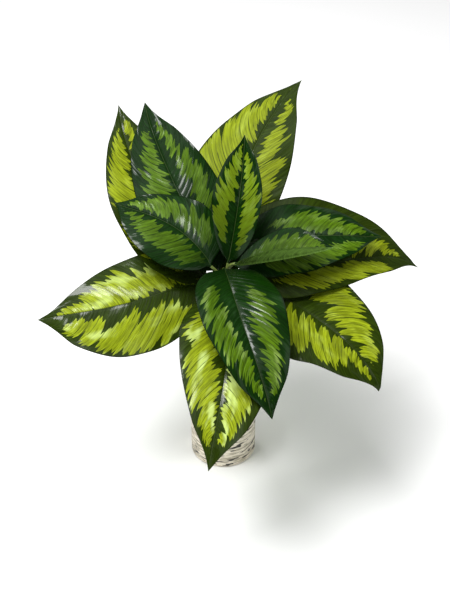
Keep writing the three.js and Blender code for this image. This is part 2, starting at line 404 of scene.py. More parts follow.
def ground_dye(r, ground, streak, fine, cloud):
    """Colour of the dark parts, with painted shade that makes them deepest near the base by the crown."""
    deep = shade(ground, 0.5)
    dyed = r.mix(streak.fade(0.35, 0.7), deep, ground)
    dyed = r.mix((fine * 0.5 + cloud * 0.5).fade(0.5, 0.75) * 0.5, dyed, shade(ground, 2.2, 0.01))
    # Painted shade of the crown over the lowest part of the blade
    return r.mix((0.3 - r.share).fade(0.0, 0.3) * 0.6, dyed, deep)


def wet_patches(r, streak):
    """Patches of gloss, drawn out along the veins and more of them by midrib and margin."""
    wet = r.veined(0.22, 1.8, 21.0)
    edges = r.out.fade(0.7, 1.0) * 0.1 + (1.0 - r.out.fade(0.0, 0.22)) * 0.07
    return (wet + edges + r.attribute("gloss") + streak.swing(0.4)).fade(0.57, 0.7)


def blade_face(name, ground, band, lobes, notch, gloss, painted_crown_shade):
    """Upper face of a blade: dark ground, and a light band feathered along the side veins."""
    r = BladeRecipe(name)
    streak = r.veined(3.0, 1.6, 3.0, 3.0, 0.6)
    fine = r.veined(11.0, 5.0, 5.0, 2.0, 0.6)
    cloud = r.veined(0.3, 2.2, 8.0)
    light = light_band(r, lobes, notch, painted_crown_shade)
    top = r.mix(light, ground_dye(r, ground, streak, fine, cloud), band_dye(r, band, streak, fine, cloud))

    # Painted shade of the crown at the blade's base, then margin and midrib
    deep = shade(ground, 0.5)
    top = r.mix((1.0 - r.share.fade(0.02, 0.2)) * 0.75, top, shade(ground, 0.36))
    top = r.mix(r.margin() * 0.8, top, deep)
    top = r.mix(r.rib(0.5) * 0.9, top, deep)
    top = r.mix(r.rib(1.5) * 0.14, top, RIB_LINE)
    vein_height = r.veined(4.0, 2.0, 1.0) + fine * 0.3
    pits = r.grain(r.place(), 900.0)
    return r.finish(
        Base_Color=top,
        Roughness=0.34 + fine * 0.14,
        Specular_IOR_Level=0.05,
        Coat_Weight=wet_patches(r, streak) * gloss,
        Coat_Roughness=0.16,
        Normal=r.bump(vein_height + pits * 0.1, 0.0006, 0.8),
    )


def blade_back(name, back):
    """Pale, duller underside of a blade, with raised veins."""
    r = BladeRecipe(name)
    streak = r.veined(3.0, 1.6, 3.0, 3.0, 0.6)
    fine = r.veined(9.0, 5.0, 5.0, 2.0, 0.6)
    cloud = r.veined(0.4, 2.0, 9.0)
    dark = shade(back, 0.5)
    pale = shade(back, 1.7, 0.02)

    # The band of the upper face shows faintly through
    ragged = streak.swing(0.5)
    through = (r.outer + ragged - r.out).fade(-0.06, 0.06) * (r.out - r.inner + ragged).fade(-0.06, 0.06)
    under = r.mix(streak.fade(0.34, 0.64), dark, back)
    under = r.mix(through * 0.35, under, pale)
    under = r.mix(fine.fade(0.5, 0.8) * 0.45, under, pale)
    under = r.mix(cloud.fade(0.5, 0.75) * 0.4, under, dark)
    vein = (1.0 - r.lane.between() * 7.0).fade(0.0, 1.0) * (1.0 - r.out.fade(0.7, 0.95))
    under = r.mix(vein * 0.45, under, pale)
    under = r.mix(r.rib(0.35) * 0.8, under, pale)
    under = r.mix(r.margin() * 0.7, under, dark)
    return r.finish(
        Base_Color=under,
        Roughness=0.5 + fine * 0.15,
        Specular_IOR_Level=0.25,
        Normal=r.bump(streak + fine * 0.4 + vein * 0.8, 0.0008, 0.8),
    )


def stalk_skin(name, skin):
    """Slightly ridged stalk, browner towards its foot."""
    r = Recipe(name)
    x, y, z = r.split(r.place())
    ridges = r.grain(r.vector(x * 900.0, y * 900.0, z * 25.0), 1.0, 3.0)
    spots = r.grain(r.place(), 260.0, 3.0)
    foot = 1.0 - z.fade(0.09, 0.2)
    body = r.mix(ridges.fade(0.35, 0.7), shade(skin, 0.5), skin)
    body = r.mix(spots.fade(0.62, 0.75) * 0.5, body, STALK_SPOT)
    body = r.mix(foot * 0.6, body, STALK_FOOT)
    return r.finish(
        Base_Color=body,
        Roughness=0.42 + ridges * 0.15,
        Normal=r.bump(ridges, 0.0005, 0.7),
    )


def pot_glaze(settings):
    """Cream glaze with level, bark-like streaks and short dark dashes."""
    r = Recipe("pot_glaze")
    x, y, z = r.split(r.place())
    sway = r.grain(r.vector(x * 30.0, y * 30.0, z * 30.0), 1.0, 2.0)
    level = z + sway * 0.006
    broad = r.grain(r.vector(x * 34.0, y * 34.0, level * 330.0), 1.0, 3.0, 0.6)
    thin = r.grain(r.vector(x * 45.0, y * 45.0, level * 620.0), 1.0, 3.0, 0.6)
    patch = r.grain(r.vector(x * 25.0, y * 25.0, z * 60.0 + 5.0), 1.0, 2.0)
    dash_field = r.grain(r.vector(x * 55.0 + 3.0, y * 55.0, level * 300.0), 1.0, 1.0)
    ring = (1.0 - abs(z - DASH_RING_HEIGHT) * 220.0).fade(0.0, 1.0)
    dash = (dash_field + ring * 0.13).fade(0.64, 0.67)
    glaze = r.mix(broad.fade(0.48, 0.62), settings.cream, settings.streak)
    glaze = r.mix((thin * 0.6 + patch * 0.4).fade(0.52, 0.6) * 0.8, glaze, GLAZE_SHADOW)
    glaze = r.mix(patch.fade(0.52, 0.7) * 0.35, glaze, GLAZE_BLUSH)
    glaze = r.mix(dash, glaze, settings.dash)
    height = 1.0 - broad.fade(0.45, 0.75) * 0.5 - thin.fade(0.55, 0.7) * 0.3 - dash * 0.6
    return r.finish(
        Base_Color=glaze,
        Roughness=0.3 + broad * 0.2,
        Coat_Weight=0.25,
        Coat_Roughness=0.15,
        Normal=r.bump(height, 0.0008, 0.8),
    )


def soil_matter(settings):
    """Damp dark soil with paler crumbs."""
    r = Recipe("potting_soil")
    coarse = r.grain(r.place(), 160.0, 4.0, 0.65)
    fine = r.grain(r.place(), 700.0, 3.0, 0.6)
    earth = r.mix(coarse.fade(0.3, 0.6), shade(settings.peat, 0.45), settings.peat)
    earth = r.mix(fine.fade(0.58, 0.75) * 0.7, earth, settings.fibre)
    return r.finish(
        Base_Color=earth,
        Roughness=0.75 + fine * 0.2,
        Normal=r.bump(coarse + fine * 0.5, 0.0015, 1.0),
    )


def floor_paint(settings):
    """Matt paint with a mottle that hardly shows."""
    r = Recipe("floor_paint")
    mottle = r.grain(r.place(), 3.0, 2.0)
    paint = r.mix(mottle, shade(settings.floor_colour, 0.985), settings.floor_colour)
    return r.finish(Base_Color=paint, Roughness=0.9, Specular_IOR_Level=0.1)


# Meshes


def settle(name, bm, materials, slot_name, *nodes):
    """Turns a finished bmesh into a piece of the plant that stands for its CAD nodes."""
    mesh = bpy.data.meshes.new(name)
    bm.to_mesh(mesh)
    bm.free()
    for face in mesh.polygons:
        face.use_smooth = True
    for material in materials:
        mesh.materials.append(material)
    piece = bpy.data.objects.new(name, mesh)
    bpy.context.scene.collection.objects.link(piece)
    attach(piece, "root")
    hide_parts(*nodes)
    return piece


def turn_profile(bm, profile, steps):
    """Spins a row of (radius, height) points in millimetres about the upright axis."""
    verts = [bm.verts.new((radius * MM, 0, height * MM)) for radius, height in profile]
    edges = [bm.edges.new(pair) for pair in zip(verts, verts[1:])]
    bmesh.ops.spin(
        bm,
        geom=verts + edges,
        cent=(0, 0, 0),
        axis=(0, 0, 1),
        angle=TAU,
        steps=steps,
        use_merge=True,
    )
    bmesh.ops.remove_doubles(bm, verts=bm.verts, dist=1e-6)
    bmesh.ops.recalc_face_normals(bm, faces=bm.faces)


def arc(centre, radius, start, end, steps):
    """Points on an arc of a profile, angles in degrees."""
    points = []
    for i in range(steps + 1):
        angle = math.radians(start + (end - start) * i / steps)
        points.append((centre[0] + radius * math.cos(angle), centre[1] + radius * math.sin(angle)))
    return points


def span(start, end, steps):
    """Evenly spaced points between two profile points, both ends left out."""
    return [
        (start[0] + (end[0] - start[0]) * i / steps, start[1] + (end[1] - start[1]) * i / steps)
        for i in range(1, steps)
    ]


# Leaves, as in the solid part: millimetres and degrees. A blade leaves the crown at the bearing
# start, so far out and so far down. bearing and turn aim its midrib and bend it sideways, pitch
# and sag bend it from base to tip, and hook bends the tip. left and right give each half's width
# and how full its base and how blunt its tip are. roll and fold tilt the halves, wave and ripple
# curl the margins, lean and bow shift the midrib, and pleat is the height of the quilting. tone
# darkens the light band, or brightens it below 0, glow paints pale patches of sheen,
# a painted highlight, into the band, and wet adds gloss to each half. The paint of each half gives
# the light band's inner and outer edge, near the base, at mid length and near the tip, as shares
# of the half width, and then the shares of the length from which and to which it runs.
LEAVES = {
    "leaf_back_right": dict(
        whorl="lower", start=80, out=24, drop=45, bearing=65, turn=-53, length=338,
        left=(78, 0.72, 1.06), right=(65, 0.92, 0.96), pitch=(53, 27), sag=1, roll=12, fold=4,
        wave=3, ripple=2.5, hook=0, lean=0, bow=0.03,
        pleat=0.15, tone=0.3, glow=0.1, wet=(-0.1, -0.06),
        paint_left=((0.12, 0.1, 0.16), (0.9, 0.92, 0.74), 0.1, 0.84),
        paint_right=((0.2, 0.2, 0.27), (0.72, 0.68, 0.6), 0.1, 0.87),
    ),
    "leaf_back_left": dict(
        whorl="lower", start=142, out=28, drop=40, bearing=125, turn=-54, length=308,
        left=(64, 0.55, 1.15), right=(64, 0.95, 0.95), pitch=(37, 37), sag=1, roll=-2, fold=5,
        wave=3, ripple=3, hook=0, lean=0, bow=0.06,
        pleat=0.12, tone=0.2, glow=0.05, wet=(-0.06, 0.02),
        paint_left=((0.3, 0.16, 0.15), (0.92, 0.8, 0.66), 0.1, 0.82),
        paint_right=((0.3, 0.2, 0.14), (0.8, 0.8, 0.6), 0.1, 0.9),
    ),
    "leaf_side_left": dict(
        whorl="lower", start=200, out=18, drop=60, bearing=188, turn=-12, length=251,
        left=(70, 0.92, 0.92), right=(81, 0.5, 1.12), pitch=(8, -11), sag=1, roll=-38, fold=0,
        wave=3, ripple=3, hook=0, lean=0.6, bow=0,
        pleat=0.14, tone=0.02, glow=0.5, wet=(0, 0.04),
        paint_left=((0.22, 0.28, 0.28), (0.9, 0.85, 0.72), 0.1, 0.82),
        paint_right=((0.08, -0.06, -0.06), (0.7, 0.7, 0.36), 0.06, 0.9),
    ),
    "leaf_front": dict(
        whorl="lower", start=262, out=18, drop=44, bearing=-95, turn=-24, length=298,
        left=(67, 0.7, 0.86), right=(63, 0.66, 1.06), pitch=(20, -58), sag=1, roll=-5, fold=8,
        wave=3, ripple=2.5, hook=0, lean=0, bow=-0.04,
        pleat=0.12, tone=0.05, glow=0.85, wet=(0.07, 0.04),
        paint_left=((0.12, 0.1, 0.12), (0.8, 0.76, 0.6), 0.1, 0.86),
        paint_right=((0.2, 0.2, 0.1), (0.84, 0.85, 0.56), 0.1, 0.88),
    ),
    "leaf_front_right": dict(
        whorl="lower", start=322, out=20, drop=64, bearing=-34.5, turn=-22, length=265,
        left=(90, 0.47, 1.05), right=(73, 0.62, 0.88), pitch=(14, -64), sag=2, roll=14, fold=6,
        wave=3, ripple=3, hook=30, lean=-0.8, bow=0.05,
        pleat=0.12, tone=0.08, glow=0.1, wet=(0.02, 0.02),
        paint_left=((0.42, 0.2, 0.12), (0.95, 0.8, 0.66), 0.1, 0.82),
        paint_right=((0.1, 0.1, 0.14), (0.75, 0.8, 0.5), 0.1, 0.9),
    ),
    "leaf_side_right": dict(
        whorl="lower", start=16, out=28, drop=32, bearing=12, turn=0, length=288,
        left=(91, 0.43, 1.25), right=(72, 0.56, 1.05), pitch=(37, -43), sag=1, roll=29, fold=8,
        wave=3, ripple=3, hook=0, lean=0, bow=0.4,
        pleat=0.14, tone=0.3, glow=0.05, wet=(-0.02, -0.25),
        paint_left=((0.3, 0.2, 0.1), (0.55, 0.52, 0.42), 0.1, 0.86),
        paint_right=((0.26, 0.06, 0.36), (0.78, 0.92, 0.74), 0.13, 0.7),
    ),
    "leaf_upper_back_left": dict(
        whorl="upper", start=115, out=15, drop=23, bearing=121, turn=-38, length=284,
        left=(54, 0.7, 0.95), right=(69, 0.65, 0.95), pitch=(40, 38), sag=1, roll=-20, fold=8,
        wave=2, ripple=3, hook=0, lean=0, bow=0.11,
        pleat=0.25, tone=0.1, glow=0.05, wet=(-0.07, 0.0),
        paint_left=((0.2, 0.12, 0.16), (0.75, 0.62, 0.42), 0.2, 0.84),
        paint_right=((0.4, 0.33, 0.28), (0.77, 0.68, 0.5), 0.2, 0.86),
    ),
    "leaf_upright": dict(
        whorl="upper", start=60, out=10, drop=3, bearing=74, turn=26, length=182,
        left=(39, 0.92, 0.95), right=(43, 0.72, 1), pitch=(68, 52), sag=1, roll=-2, fold=28,
        wave=2, ripple=2.5, hook=0, lean=0, bow=0,
        pleat=0.15, tone=-0.3, glow=0.1, wet=(0.02, 0.06),
        paint_left=((0.42, 0.2, 0.13), (0.92, 0.78, 0.6), 0.1, 0.9),
        paint_right=((0.32, 0.24, 0.2), (0.86, 0.73, 0.5), 0.1, 0.88),
    ),
    "leaf_upper_left": dict(
        whorl="upper", start=190, out=19, drop=1, bearing=151, turn=0, length=172,
        left=(50, 0.74, 0.95), right=(64, 0.55, 1), pitch=(35, 5), sag=1, roll=-26, fold=8,
        wave=2, ripple=2.5, hook=0, lean=0.1, bow=0.16,
        pleat=0.25, tone=0.2, glow=0.05, wet=(-0.06, -0.02),
        paint_left=((0.12, 0.15, 0.2), (0.66, 0.62, 0.46), 0.06, 0.84),
        paint_right=((0.22, 0.15, 0.15), (0.66, 0.77, 0.62), 0.1, 0.84),
    ),
    "leaf_upper_front": dict(
        whorl="upper", start=268, out=10, drop=1, bearing=-74, turn=12, length=269,
        left=(57, 0.6, 0.85), right=(59, 0.6, 0.85), pitch=(22, -62), sag=1, roll=0, fold=8,
        wave=2, ripple=3, hook=0, lean=0, bow=0.1,
        pleat=0.65, tone=0, glow=0.25, wet=(0.13, -0.02),
        paint_left=((0.36, 0.24, 0.24), (0.64, 0.72, 0.62), 0.2, 0.87),
        paint_right=((0.44, 0.3, 0.2), (0.8, 0.82, 0.52), 0.15, 0.9),
    ),
    "leaf_upper_right": dict(
        whorl="upper", start=4, out=11, drop=2, bearing=9, turn=0, length=220,
        left=(68, 0.62, 0.98), right=(48, 0.68, 0.95), pitch=(22, -8), sag=1, roll=25, fold=8,
        wave=2, ripple=3, hook=0, lean=-0.7, bow=-0.1,
        pleat=0.25, tone=0.1, glow=0.1, wet=(0.04, 0),
        paint_left=((0.34, 0.14, 0.06), (0.68, 0.66, 0.6), 0.24, 0.86),
        paint_right=((0.45, 0.4, 0.36), (0.9, 0.82, 0.7), 0.12, 0.82),
    ),
    "leaf_young": dict(
        whorl="upper", start=315, out=21, drop=-11, bearing=-13, turn=0, length=144,
        left=(46, 1, 1), right=(46, 1, 1), pitch=(14, 24), sag=1, roll=-4, fold=46,
        wave=1, ripple=2, hook=0, lean=0, bow=0,
        pleat=0.12, tone=0.4, glow=0.1, wet=(-0.02, -0.04),
        paint_left=((0.15, 0.18, 0.15), (0.7, 0.78, 0.66), 0.1, 0.88),
        paint_right=((0.2, 0.2, 0.2), (0.8, 0.8, 0.7), 0.1, 0.88),
    ),
}

# Crown and stalks, in millimetres, with a value for each whorl where they differ
CROWN = Vector((2, 0, 343))
STALK_RADIUS = {"upper": 2.0, "lower": 2.4}
HOLE_RING = {"upper": 10.5, "lower": 21.0}
NECK_RING = {"upper": 5.6, "lower": 13.0}
NECK_DROP = 26
FOOT_HEIGHT = 52.35
COLLAR_HEIGHT = 102
COLLAR_PULL = 40
NECK_PULL = 50
NECK_RISE = 14
BASE_PULL = 9

# Blades: places and amounts as shares of a blade's length and width, and depths in millimetres
CUP = 0.1
TAPER_START = 0.8
TAPER_SHARE = 0.4
HOOK_START = 0.93
STALK_BLEND = 0.06
VEIN_SWEEP = 0.23
LEAN_PEAK = 0.3027
GROOVE_DEPTH = 0.55
GROOVE_WIDTH = 1.5
KEEL_WIDTH = 2.2
THIN_WIDTH = 4
FAR_FROM_RIB = 9

# Steps of the grid that a leaf is bent from
HALF_STEPS = 24
AROUND = 4 * HALF_STEPS
ROWS_PER_VEIN = 7
STALK_ROWS = 30
TABLE_STEPS = 1000


class Blade:
    """Places the points of one leaf, in millimetres."""

    def __init__(self, number, values, settings):
        self.__dict__.update(values)
        self.seed = 100.0 * (number + 1)
        self.thickness = settings.thickness / MM
        self.keel = settings.keel / MM
        self.veins = round(self.length / (settings.vein_step / MM))
        self.rows = self.veins * ROWS_PER_VEIN
        self.radius = STALK_RADIUS[self.whorl]
        self.sweep = min(VEIN_SWEEP, 0.6 * (self.left[0] + self.right[0]) / self.length)
        self.walk()
        self.space_veins()
        self.draw_stalk()

    def around_axis(self, radius, height):
        angle = math.radians(self.start)
        return Vector((CROWN.x + radius * math.cos(angle), radius * math.sin(angle), height))

    def directions(self, s):
        """Direction, side and upward normal of the midrib at the share s of its length."""
        bearing = math.radians(self.bearing + self.turn * (s - 0.5))
        low, high = self.pitch
        hook = self.hook * smooth((s - HOOK_START) / (1 - HOOK_START))
        pitch = math.radians(low + (high - low) * s**self.sag - hook)
        along = Vector(
            (math.cos(pitch) * math.cos(bearing), math.cos(pitch) * math.sin(bearing), math.sin(pitch))
        )
        side = Vector((math.sin(bearing), -math.cos(bearing), 0))
        side = Matrix.Rotation(math.radians(self.roll), 3, along) @ side
        return along, side, side.cross(along)

    def walk(self):
        """Follows the midrib from the crown to the tip and keeps what is found on the way."""
        base = self.around_axis(self.out, CROWN.z - self.drop)
        step = self.length / TABLE_STEPS
        self.table = []
        for i in range(TABLE_STEPS + 1):
            along, side, up = self.directions(i / TABLE_STEPS)
            self.table.append((base.copy(), along, side, up))
            base += self.directions((i + 0.5) / TABLE_STEPS)[0] * step

    def section(self, s):
        """Centre, side and up of the blade at the share s of its length."""
        x = min(max(s, 0.0), 1.0) * TABLE_STEPS
        i = min(int(x), TABLE_STEPS - 1)
        near, far = self.table[i], self.table[i + 1]
        return [a.lerp(b, x - i) for a, b in zip(near, far)]

    def half_width(self, s, t):
        """Width of the half on which t lies, at the share s of the length."""
        s = min(max(s, 0.0), 0.9999)
        width, full, point = self.right if t > 0 else self.left
        widest = full / (full + point)
        rise = (s / widest) ** full
        fall = ((1 - s) / (1 - widest)) ** point
        taper = 1 - TAPER_SHARE * smooth((s - TAPER_START) / (1 - TAPER_START))
        return max(0.4, width * rise * fall * taper)

    def space_veins(self):
        """Where the side veins leave the midrib: closer at base and tip, and a little uneven."""
        places = [0.0]
        for i in range(self.veins):
            middle = (i + 0.5) / self.veins
            gap = 0.55 + math.sin(math.pi * middle) ** 0.7 + 0.3 * (pick(self.seed + i) - 0.5)
            places.append(places[-1] + gap)
        self.vein_places = [p / places[-1] for p in places]

    def vein_share(self, lane):
        """Share of the midrib's length at which a row of the blade begins."""
        i = min(int(lane), self.veins - 1)
        return self.vein_places[i] + (self.vein_places[i + 1] - self.vein_places[i]) * (lane - i)

    def share(self, start, t):
        """Share of the length that a vein from start has reached at t across the blade."""
        lean = start**0.75 * (1 - start) / LEAN_PEAK
        return start + self.sweep * abs(t) ** 1.25 * lean

    def reach(self, s, t):
        """Where the share t of a half lies sideways of the blade's middle line."""
        shift = self.lean * (1 - s) ** 3 + self.bow * 4 * s * (1 - s)
        place = t + shift * (1 - abs(t))
        return place * self.half_width(s, place) * math.cos(math.radians(self.fold))

    def lift(self, s, t, w):
        """Height of the blade over its middle line, from its fold, its cup and its waves."""
        a = abs(t)
        ripple = math.sin(TAU * (self.ripple * s + (0.25 if t > 0 else 0))) * a**3
        fold = math.radians(self.fold)
        share = w / (self.right if t > 0 else self.left)[0]
        return w * a * math.sin(fold) - CUP * w * a * a + self.wave * ripple * share

    def pleat_height(self, lane, start, t):
        """Height of the quilting between the side veins, a little different for each."""
        a = abs(t)
        swell = abs(math.sin(math.pi * lane)) ** 0.8 - 0.55
        swell *= 0.45 + 1.1 * pick(self.seed + 7 + math.floor(lane) + (50 if t > 0 else 0))
        ends = smooth(start / 0.08) * smooth((1 - start) / 0.12)
        quilt = noise.noise(Vector((lane * 0.3, t * 1.6, self.seed))) * 1.1
        across = smooth(a / 0.12) * (1 - 0.75 * smooth((a - 0.55) / 0.4))
        return (self.pleat * swell * across + quilt * a) * ends

    def normal(self, s, t, w):
        """Sideways and upward part of the upper face's normal."""
        d = 0.02
        climb = self.lift(s, t + d, w) - self.lift(s, t - d, w)
        slope = climb / (self.reach(s, t + d) - self.reach(s, t - d))
        tilt = math.hypot(slope, 1)
        return -slope / tilt, 1 / tilt

    def round_point(self, t, under):
        """A point of the stalk's round section."""
        angle = math.pi * (1 - t) / 2
        return self.radius * math.cos(angle), self.radius * math.sin(angle) * (-1 if under else 1)

    def blade_point(self, lane, t, under):
        """A point of the blade's skin, its share of the length, and how far it is from the midrib."""
        start = self.vein_share(lane)
        s = self.share(start, t)
        w = self.half_width(s, t)
        x = self.reach(s, t)
        reach = x - self.reach(s, 0)
        aside, upward = self.normal(s, t, w)
        groove = -GROOVE_DEPTH * math.exp(-((reach / GROOVE_WIDTH) ** 2)) * smooth((1 - s) / 0.1)
        rise = self.pleat_height(lane, start, t) + groove
        x += aside * rise
        y = self.lift(s, t, w) + upward * rise
        if under:
            thick = self.thickness * (1 - abs(t) ** 14) * min(1.0, w / THIN_WIDTH)
            keel = self.keel * (1 - 0.8 * s) * math.exp(-((reach / KEEL_WIDTH) ** 2))
            x -= aside * thick
            y -= upward * thick + keel
        round_x, round_y = self.round_point(t, under)
        blend = smooth(s / STALK_BLEND)
        x = round_x + (x - round_x) * blend
        y = round_y + (y - round_y) * blend
        centre, _, side, up = self.section(s)
        return centre + side * x + up * y, s, reach

    def band_edges(self, start, t):
        """Inner and outer edge of the light band where the vein from start begins."""
        inner, outer, first, last = self.paint_right if t > 0 else self.paint_left
        closing = 0.6 * smooth((first + 0.06 - start) / 0.12) + 0.6 * smooth((start - last + 0.07) / 0.12)
        return between(inner, start) + closing * 0.4, between(outer, start) - closing * 0.8

    def draw_stalk(self):
        """Centre line of the stalk, from its foot in the soil up to the blade."""
        base, along, side, _ = self.section(0)
        foot = self.around_axis(HOLE_RING[self.whorl], 0)
        foot.z = FOOT_HEIGHT
        collar = Vector((foot.x, foot.y, COLLAR_HEIGHT))
        neck = self.around_axis(NECK_RING[self.whorl], base.z - NECK_DROP)
        rise = Vector((0, 0, 1))
        self.stalk_parts = [
            (foot, foot.lerp(collar, 1 / 3), foot.lerp(collar, 2 / 3), collar),
            (collar, collar + rise * COLLAR_PULL, neck - rise * NECK_PULL, neck),
            (neck, neck + rise * NECK_RISE, base - along * BASE_PULL, base),
        ]
        self.stalk_side = side

    def stalk_point(self, q, t, under):
        """A point of the stalk's skin at the share q of its rows."""
        part = min(int(q * 3), 2)
        u = q * 3 - part
        p0, p1, p2, p3 = self.stalk_parts[part]
        v = 1 - u
        centre = p0 * v**3 + p1 * (3 * v * v * u) + p2 * (3 * v * u * u) + p3 * u**3
        tangent = ((p1 - p0) * (v * v) + (p2 - p1) * (2 * v * u) + (p3 - p2) * (u * u)).normalized()
        side = (self.stalk_side - tangent * self.stalk_side.dot(tangent)).normalized()
        up = side.cross(tangent)
        x, y = self.round_point(t, under)
        return centre + side * x + up * y


def between(values, start):
    """Value at start, of three that stand for a quarter, half and three quarters of the length."""
    base, middle, tip = values
    near, share = (base, middle), (start - 0.25) / 0.25
    if start > 0.5:
        near, share = (middle, tip), (start - 0.5) / 0.25
    return near[0] + (near[1] - near[0]) * min(max(share, 0.0), 1.0)


def across_share(step):
    """Signed share of the half width: finer steps by the midrib, and one thin one at the margin."""
    a = abs(step)
    share = 1.0 if a >= HALF_STEPS else MARGIN * (a / (HALF_STEPS - 1)) ** 1.4
    return math.copysign(share, step)


def build_leaf(number, name, values, settings, materials, slot_name):
    """Bends a grid round the stalk and the blade, so that its first and last columns meet."""
    blade = Blade(number, values, settings)
    rows = STALK_ROWS + blade.rows
    bm = bmesh.new()
    place = bm.verts.layers.float_vector.new("vein_place")
    band = bm.verts.layers.float_vector.new("band")
    rib_place = bm.verts.layers.float_vector.new("rib_place")
    gloss = bm.verts.layers.float.new("gloss")
    bmesh.ops.create_grid(bm, x_segments=AROUND, y_segments=rows, size=0.5)
    for face in bm.faces:
        middle = face.calc_center_median()
        on_stalk = (middle.y + 0.5) * rows < STALK_ROWS
        face.material_index = 2 if on_stalk else int(middle.x > 0)
    for vert in bm.verts:
        column = round((vert.co.x + 0.5) * AROUND)
        row = round((vert.co.y + 0.5) * rows)
        under = column > AROUND // 2
        t = across_share(3 * HALF_STEPS - column if under else column - HALF_STEPS)
        if row < STALK_ROWS:
            vert.co = blade.stalk_point(row / STALK_ROWS, t, under) * MM
            vert[place] = (t, 0, blade.seed)
            vert[rib_place] = (FAR_FROM_RIB, 0, 0)
            continue
        lane = (row - STALK_ROWS) / ROWS_PER_VEIN
        point, s, reach = blade.blade_point(lane, t, under)
        vert.co = point * MM
        start = blade.vein_share(lane)
        vert[place] = (t, lane, blade.seed)
        vert[band] = (*blade.band_edges(start, t), blade.tone)
        vert[rib_place] = (reach, blade.glow, s)
        vert[gloss] = blade.wet[t > 0]
    edge = [v for v in bm.verts if any(e.is_boundary for e in v.link_edges)]
    bmesh.ops.remove_doubles(bm, verts=edge, dist=1e-7)
    bmesh.ops.holes_fill(bm, edges=[e for e in bm.edges if e.is_boundary], sides=0)
    bmesh.ops.recalc_face_normals(bm, faces=bm.faces)
    return settle(name + "_skin", bm, materials, slot_name, name)


def build_whorl(context, whorl, slot_name, materials):
    """Builds the leaves of one whorl; each leaf's number in the list seeds its own pattern."""
    settings = context.scene.calathea.leaf
    for number, (name, values) in enumerate(LEAVES.items()):
        if values["whorl"] == whorl:
            build_leaf(number, name, values, settings, materials, slot_name)


# Operators

POT_STEPS = 200
SOIL_STEPS = 120
CAMERA_PLACE = (0.0027, -1.2978, 1.1907)
CAMERA_TILT = math.radians(55)
CAMERA_LENS = 66
SENSOR_WIDTH = 36
KEY_PLACE = (-0.9, -0.5, 3.0)
SHEEN_PLACE = (-0.9, 1.6, 2.0)
LIT_POINT = Vector((0, 0, 0.3))


class CALATHEA_OT_camera(bpy.types.Operator):
    """Sets the camera at the height from which the plant is seen."""

    bl_idname = "calathea.camera"
    bl_label = "Camera"

    def execute(self, context):
        data = bpy.data.cameras.new("camera")
        data.lens = CAMERA_LENS
        data.sensor_width = SENSOR_WIDTH
        data.clip_end = 50
        camera = bpy.data.objects.new("camera", data)
        camera.location = CAMERA_PLACE
        camera.rotation_euler = (CAMERA_TILT, 0, 0)
        context.scene.collection.objects.link(camera)
        context.scene.camera = camera
        return {"FINISHED"}


class CALATHEA_OT_stage(bpy.types.Operator):
    """Adds the plain floor and the soft lights."""

    bl_idname = "calathea.stage"
    bl_label = "Stage"

    def execute(self, context):
        settings = context.scene.calathea.stage
        scene = context.scene
        bm = bmesh.new()
        bmesh.ops.create_grid(bm, x_segments=2, y_segments=2, size=settings.floor_width / 2)
        mesh = bpy.data.meshes.new("floor")
        bm.to_mesh(mesh)
        bm.free()
        mesh.materials.append(floor_paint(settings))
        floor = bpy.data.objects.new("floor", mesh)
        scene.collection.objects.link(floor)
        self.light(scene, "key", settings.key_power, settings.key_size, KEY_PLACE)
        self.light(scene, "sheen", settings.sheen_power, settings.sheen_size, SHEEN_PLACE)
        world = bpy.data.worlds.new("sky")
        world.use_nodes = True
        backdrop = world.node_tree.nodes["Background"]
        backdrop.inputs["Color"].default_value = (1.0, 1.0, 1.0, 1.0)
        backdrop.inputs["Strength"].default_value = settings.sky
        scene.world = world
        scene.view_settings.view_transform = "Standard"
        return {"FINISHED"}

    def light(self, scene, name, power, size, place):
        """A square light that faces the plant."""
        data = bpy.data.lights.new(name, "AREA")
        data.energy = power
        data.size = size
        lamp = bpy.data.objects.new(name, data)
        lamp.location = place
        towards = LIT_POINT - Vector(place)
        lamp.rotation_euler = towards.to_track_quat("-Z", "Y").to_euler()
        scene.collection.objects.link(lamp)


class CALATHEA_OT_pot(bpy.types.Operator):
    """Turns the pot and gives its glaze shallow, level streaks."""

    bl_idname = "calathea.pot"
    bl_label = "Pot"

    def execute(self, context):
        settings = context.scene.calathea.pot
        outer = settings.diameter / MM / 2
        height = settings.height / MM
        inner = outer - settings.wall / MM
        base = settings.base / MM
        foot = settings.foot_round / MM
        rim = settings.rim_round / MM
        profile = [(0, 0), (outer * 0.45, 0)]
        profile += arc((outer - foot, foot), foot, -90, 0, 8)
        profile += span((outer, foot), (outer, height - rim), 120)
        profile += arc((outer - rim, height - rim), rim, 0, 90, 5)
        profile += arc((inner + rim, height - rim), rim, 90, 180, 5)
        profile += span((inner, height - rim), (inner, base + foot), 12)
        profile += arc((inner - foot, base + foot), foot, 0, -90, 5)
        profile += [(0, base)]
        bm = bmesh.new()
        turn_profile(bm, profile, POT_STEPS)
        for vert in bm.verts:
            self.carve(vert, inner * MM, height * MM, settings.relief)
        settle("pot_body", bm, [pot_glaze(settings)], "pot_glaze", "pot")
        return {"FINISHED"}

    def carve(self, vert, inner, height, relief):
        """Draws a point inwards where a streak passes, if it lies on the outer wall over its foot."""
        x, y, z = vert.co
        radius = math.hypot(x, y)
        if radius < inner + 0.001 or z < 0.002:
            return
        sway = noise.noise(Vector((x * 30, y * 30, z * 30))) * 0.004
        broad = noise.noise(Vector((x * 34, y * 34, (z + sway) * 330)))
        depth = relief * smooth((broad + 0.1) / 0.6) * smooth((height - z) / 0.006)
        vert.co.x -= x / radius * depth
        vert.co.y -= y / radius * depth


